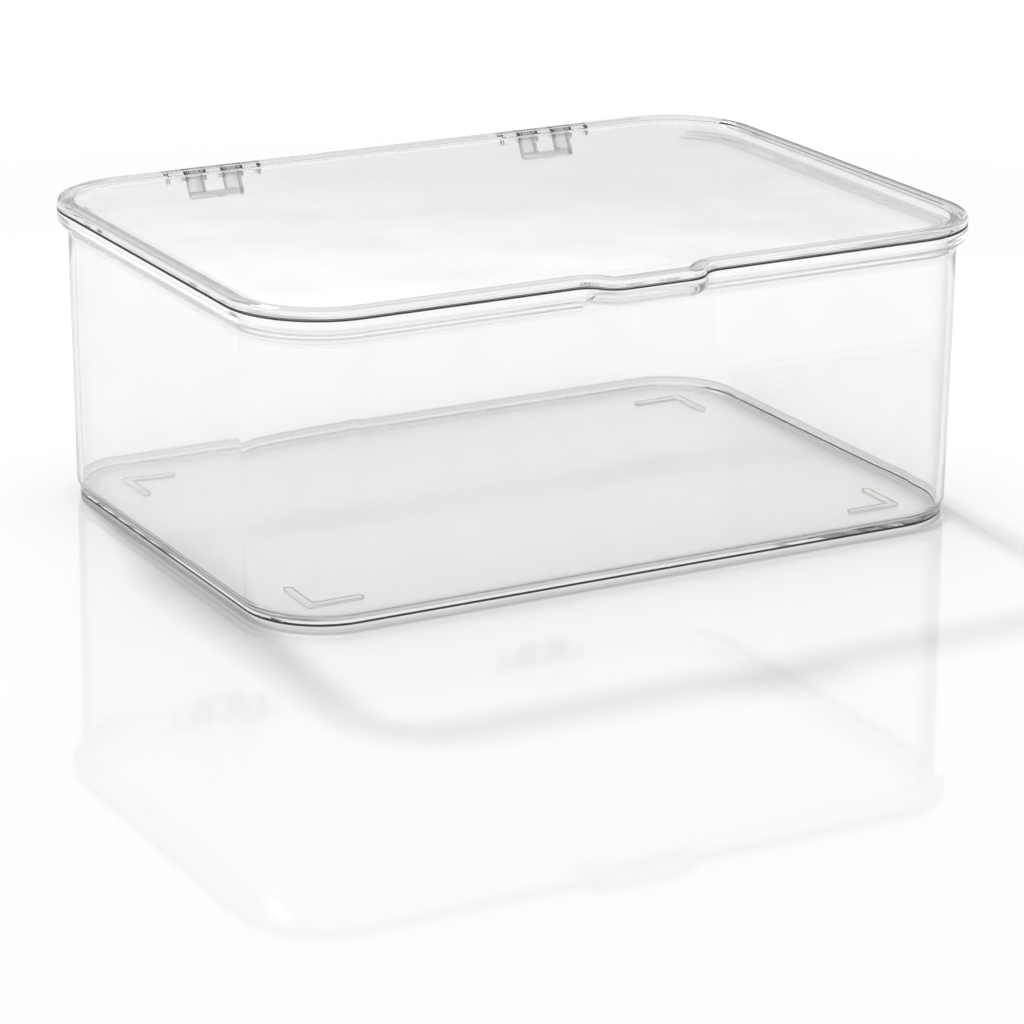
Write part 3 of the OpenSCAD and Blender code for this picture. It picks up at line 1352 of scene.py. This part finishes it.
def new_material(name: str) -> tuple[Material, NodeMaker]:
    """Makes an empty material.

    Args:
        name: name of the material.

    Returns:
        The material without nodes, and a maker for them.
    """
    made = bpy.data.materials.new(name)
    made.use_nodes = True
    made.node_tree.nodes.clear()
    return made, NodeMaker(made.node_tree)


def shared_group(name: str) -> NodeTree:
    """The shader group of that name, built the first time it is asked for."""
    makers = {"moulding_ripple": ripple_group, "handling_wear": wear_group}
    return bpy.data.node_groups.get(name) or makers[name]()


@dataclass(frozen=True)
class Studio:
    """White floor, pale dome, one lamp behind the organizer and the camera.

    dome is the level of the sky that lights the scene. In the sky that shiny surfaces show,
    the level goes from horizon to sheen over gloss_rise. Round dark_side, out to where
    side_reach ends across the view, it sinks to dark, or to gloss_dark in shiny surfaces.
    """

    floor_size: float = 9.0
    floor_fade: Pair = (0.30, 0.60)
    floor_white: float = 0.96
    floor_polish: float = 0.055
    camera_place: Point = (-0.62147, -1.13662, 0.42605)
    look: Point = (0.456887, 0.831772, -0.315292)
    roll: float = 0.41
    lens: float = 139.06
    sensor: float = 36.0
    shift: Pair = (-0.0044, -0.0007)
    dome: float = 1.0
    dome_tone: Tone = (0.8, 0.8, 0.8)
    horizon: float = 0.80
    sheen: float = 1.4
    gloss_rise: Pair = (0.228, 0.270)
    gloss_dark: float = 0.5
    side_reach: Pair = (0.15, 0.36)
    dark: float = 0.06
    dark_side: Point = (-0.46, -0.83, 0.10)
    dark_reach: Pair = (0.45, 0.85)
    bounces: int = 28
    key_place: Point = (0.36, 4.52, 5.08)
    key_side: float = 0.75
    key_power: float = 224.0
    key_aim: Point = (0.0, 0.0, 0.05)

    def floor(self) -> None:
        """Lays the glossy white floor, which fades into plain white away from the organizer."""
        half = self.floor_size / 2
        corners = [(-half, -half, 0), (half, -half, 0), (half, half, 0), (-half, half, 0)]
        ground = new_solid("studio_floor", corners, [(0, 1, 2, 3)])
        made, make = new_material("white_acrylic_floor")
        white = self.floor_white
        sheet = make.add("ShaderNodeBsdfPrincipled", {
            "Base Color": (white, white, white, 1.0), "Roughness": self.floor_polish
        })
        place = make.add("ShaderNodeTexCoord").outputs["Object"]
        far = make.add("ShaderNodeVectorMath", {0: place}, operation="LENGTH").outputs["Value"]
        path = make.add("ShaderNodeLightPath").outputs
        seen = make.math("ADD", path["Is Camera Ray"], path["Is Transmission Ray"])
        seen = make.math("MINIMUM", make.math("ADD", seen, path["Is Glossy Ray"]), 1.0)
        fade = make.math("MULTIPLY", seen, make.ranged(far, self.floor_fade, eased=True))
        make.surface(make.mixed(fade, sheet, make.add("ShaderNodeEmission")))
        ground.data.materials.append(made)

    def world(self) -> None:
        """Sets a pale dome, white where the camera sees it and darker towards the camera."""
        world = bpy.data.worlds.new("studio_dome")
        bpy.context.scene.world = world
        world.use_nodes = True
        world.node_tree.nodes.clear()
        make = NodeMaker(world.node_tree)
        path = make.add("ShaderNodeLightPath").outputs
        glossy = path["Is Glossy Ray"]
        heading = make.add("ShaderNodeTexCoord").outputs["Generated"]
        height = make.add("ShaderNodeSeparateXYZ", {0: heading}).outputs["Z"]
        rise = make.ranged(height, self.gloss_rise, (self.horizon, self.sheen), eased=True)
        level = make.chosen(glossy, self.dome, rise)
        across = self._along(make, heading, (self.look[1], -self.look[0], 0.0))
        side = make.ranged(make.math("ABSOLUTE", across), self.side_reach, (1.0, 0.0), eased=True)
        shade = make.ranged(self._along(make, heading, self.dark_side), self.dark_reach, (1.0, 0.0))
        share = make.math("MULTIPLY", shade, make.math("MAXIMUM", side, path["Is Diffuse Ray"]))
        low = make.chosen(glossy, self.dark, self.gloss_dark)
        zone = make.ranged(share, (0.0, 1.0), (low, 1.0))
        soft = make.add("ShaderNodeBackground", {
            "Color": (*self.dome_tone, 1.0), "Strength": make.math("MULTIPLY", zone, level)
        })
        white = make.add("ShaderNodeBackground", {"Color": (1.0, 1.0, 1.0, 1.0)})
        make.surface(make.mixed(path["Is Camera Ray"], soft, white), "ShaderNodeOutputWorld")

    @staticmethod
    def _along(make: NodeMaker, heading: NodeSocket, way: Point) -> NodeSocket:
        """Adds a node that measures how far a heading points along a way.

        Args:
            make: maker of the tree's nodes.
            heading: the heading, of length 1.
            way: the way, of any length.

        Returns:
            The share, which is 1 where they agree.
        """
        return make.add(
            "ShaderNodeVectorMath", {0: heading, 1: Vector(way).normalized()},
            operation="DOT_PRODUCT",
        ).outputs["Value"]

    def lamp(self) -> None:
        """Hangs the soft square lamp that lights the organizer from behind."""
        light = bpy.data.lights.new("back_key", "AREA")
        light.shape = "RECTANGLE"
        light.size = light.size_y = self.key_side
        light.energy = self.key_power
        lamp = bpy.data.objects.new("back_key", light)
        lamp.location = self.key_place
        aim = Vector(self.key_aim) - Vector(self.key_place)
        lamp.rotation_euler = aim.to_track_quat("-Z", "Y").to_euler()
        bpy.context.scene.collection.objects.link(lamp)

    def camera(self) -> None:
        """Sets the camera where the photograph was taken."""
        data = bpy.data.cameras.new("camera")
        data.lens, data.sensor_width = self.lens, self.sensor
        data.shift_x, data.shift_y = self.shift
        forward = Vector(self.look).normalized()
        right = forward.cross(Vector((0, 0, 1))).normalized()
        up = right.cross(forward)
        roll = math.radians(self.roll)
        level = right * math.cos(roll) + up * math.sin(roll)
        upright = up * math.cos(roll) - right * math.sin(roll)
        turn = Matrix((level, upright, -forward)).transposed().to_4x4()
        camera = bpy.data.objects.new("camera", data)
        camera.matrix_world = Matrix.Translation(self.camera_place) @ turn
        bpy.context.scene.collection.objects.link(camera)
        bpy.context.scene.camera = camera

    def build(self) -> None:
        """Builds the whole studio."""
        scene = bpy.context.scene
        scene.view_settings.view_transform = "Standard"
        scene.cycles.max_bounces = self.bounces
        scene.cycles.glossy_bounces = self.bounces
        scene.cycles.transmission_bounces = self.bounces
        scene.cycles.transparent_max_bounces = self.bounces
        self.camera()
        self.floor()
        self.world()
        self.lamp()


def enlist(piece: Object, body: Body, slot: str, *nodes: str) -> None:
    """Tells the frame what a piece is, and logs it.

    Args:
        piece: the piece.
        body: the body that it rides on.
        slot: its material slot; not used.
        *nodes: the CAD nodes that it stands for.
    """
    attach(piece, body.value)
    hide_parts(*nodes)
    log.info("%s rides on %s: %d faces", piece.name, body.value, len(piece.data.polygons))


def main() -> None:
    """Builds the studio and the organizer, piece by piece."""
    logging.basicConfig(level=logging.INFO, format="%(name)s: %(message)s")
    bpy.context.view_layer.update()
    Studio().build()
    plastics = {
        # Painted shade: a near-black, mostly opaque strip along the seam, the foot band's contact
        # with the floor and the ends of the lid's knuckles.
        Finish.SEAM_EDGE: ClearPlastic(
            "seam_edge_plastic", (0.04, 0.04, 0.04), (0.5, 0.5, 0.5), polish=0.3,
            guided_glow=0.0, clear=0.1,
        ),
        # Painted shade: hinge arms, web and bores tinted grey.
        Finish.HINGE: ClearPlastic(
            "hinge_plastic", (0.52, 0.52, 0.517), (0.8, 0.8, 0.8), polish=0.03, wave_scale=90.0,
            guided_glow=0.3,
        ),
        # Painted shade: dark, mostly opaque outlines on the rounded edges of hinge parts and feet.
        Finish.HINGE_EDGE: ClearPlastic(
            "hinge_edge_plastic", (0.13, 0.13, 0.13), (0.7, 0.7, 0.7), polish=0.12,
            guided_glow=0.1, clear=0.2,
        ),
        # Painted shade: the tub's floor, seen through, tinted a little grey.
        Finish.FLOOR: ClearPlastic("clear_floor_plastic", (0.88, 0.88, 0.877), (0.97, 0.97, 0.965)),
        Finish.REAR_RIM: ClearPlastic(
            "faint_rim_plastic", (0.98, 0.98, 0.977), (0.42, 0.42, 0.415), polish=0.12, ior=1.12
        ),
        # Painted shade: the rim's underside a little darker and rougher than the walls.
        Finish.UNDER_RIM: ClearPlastic(
            "soft_rim_plastic", (0.92, 0.92, 0.917), (0.42, 0.42, 0.415), polish=0.12,
            guided_glow=0.8,
        ),
        Finish.SHADED: ClearPlastic(
            "shaded_plastic", (0.62, 0.62, 0.617), (0.48, 0.48, 0.475), guided_glow=0.8
        ),
    }
    shared = {finish: plastic.material() for finish, plastic in plastics.items()}
    pin_plastic = ClearPlastic(
        "clear_pin_plastic", (0.90, 0.91, 0.92), (0.8, 0.8, 0.8), polish=0.08, wave_scale=120.0
    )
    clear, shadow = (0.98, 0.98, 0.977), (0.985, 0.985, 0.98)
    # The tub's walls darken strongly towards grazing views, painted shade along their silhouettes.
    tub_wall = ClearPlastic(
        "clear_tub_plastic", clear, shadow, guided_glow=0.3, edge_start=0.70, edge_tint=0.05
    )
    lid_wall = ClearPlastic("clear_lid_plastic", clear, shadow, guided_glow=0.95)
    outline, hinge, rows = RimOutline(), HingeSizes(), HingeRows()
    tub = Tub(outline, hinge, rows).build({Finish.WALL: tub_wall.material(), **shared})
    enlist(tub, Body.TUB, "clear_plastic", "tub")
    lid = Lid(outline, hinge, rows).build({Finish.WALL: lid_wall.material(), **shared})
    enlist(lid, Body.LID, "clear_plastic", "lid")
    pin_finish = pin_plastic.material()
    for side in (-1, 1):
        pin = HingePin(hinge, rows, side)
        enlist(pin.build(pin_finish), Body.TUB, "clear_pin_plastic", pin.node)


if __name__ == "__main__":
    main()
